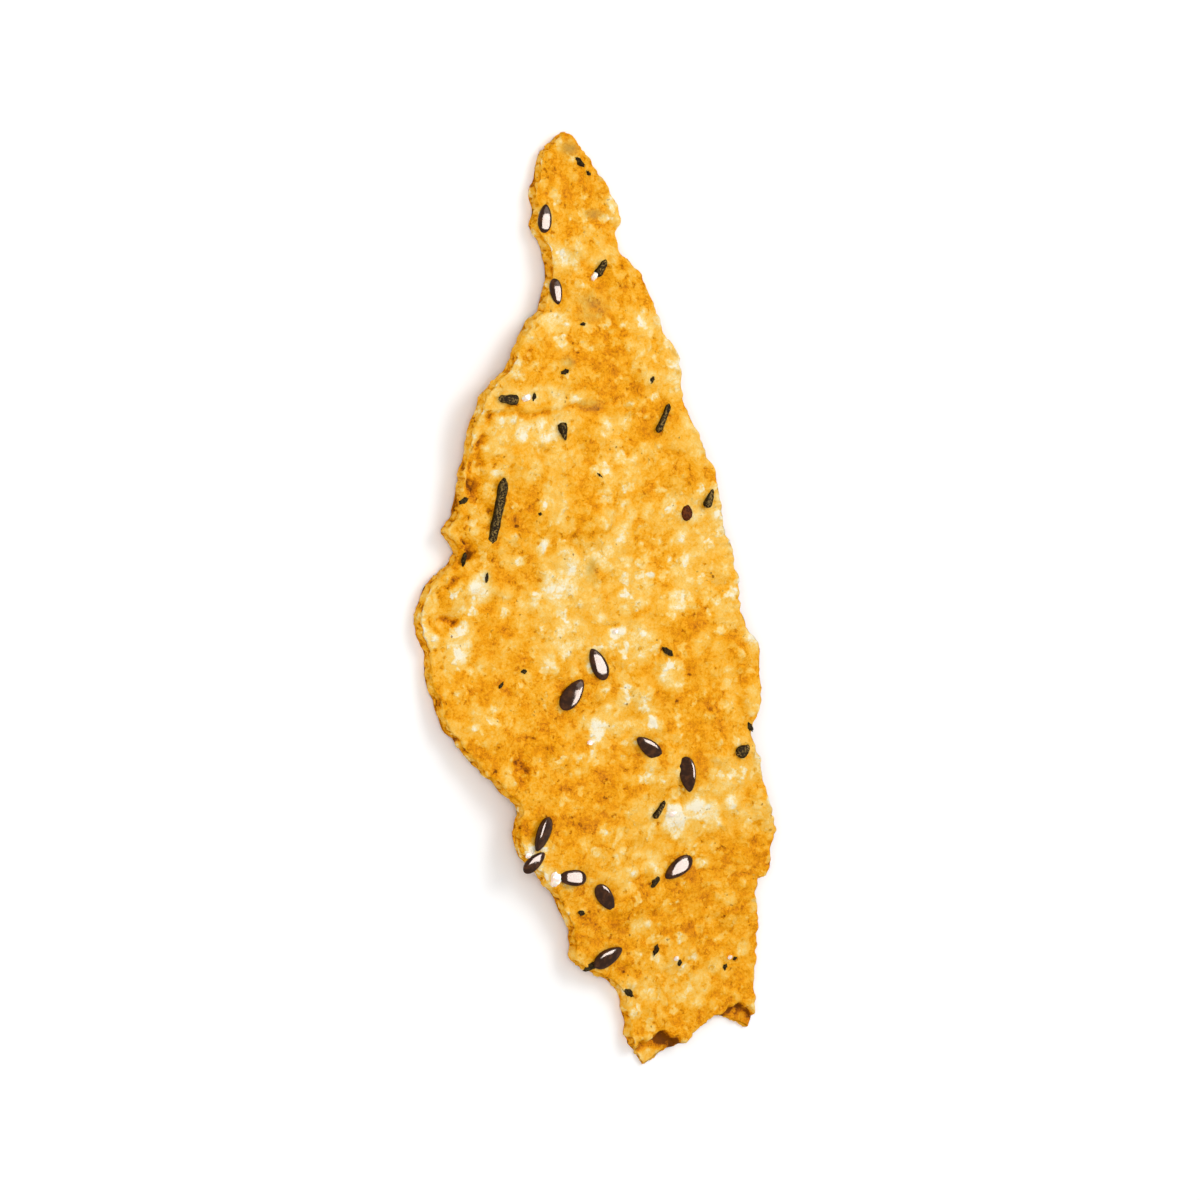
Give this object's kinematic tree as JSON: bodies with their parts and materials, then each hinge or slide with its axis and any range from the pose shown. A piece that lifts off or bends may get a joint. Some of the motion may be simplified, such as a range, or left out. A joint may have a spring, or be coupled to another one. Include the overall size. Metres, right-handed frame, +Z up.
{
  "type": "olive oil cracker",
  "caption": "Hand-broken sheet of thin blistered olive oil cracker, a tall leaf with a narrow tip, with flax seeds and rosemary baked into its upper face; lies face up.",
  "frame": {"origin": "on the table, under the middle of the sheet's box", "axes": "+Z up out of the seeded upper face, +Y from the broken foot to the narrow tip, +X to the right seen from above with the tip away from the viewer"},
  "size_m": [0.06, 0.1397, 0.0064],
  "materials": {
    "cracker": "golden baked dough with a light oily sheen; dark brown glossy flax seeds and dark green rosemary are fused on"
  },
  "bodies": {
    "root": {"cracker": "cracker"}
  },
  "joints": []
}
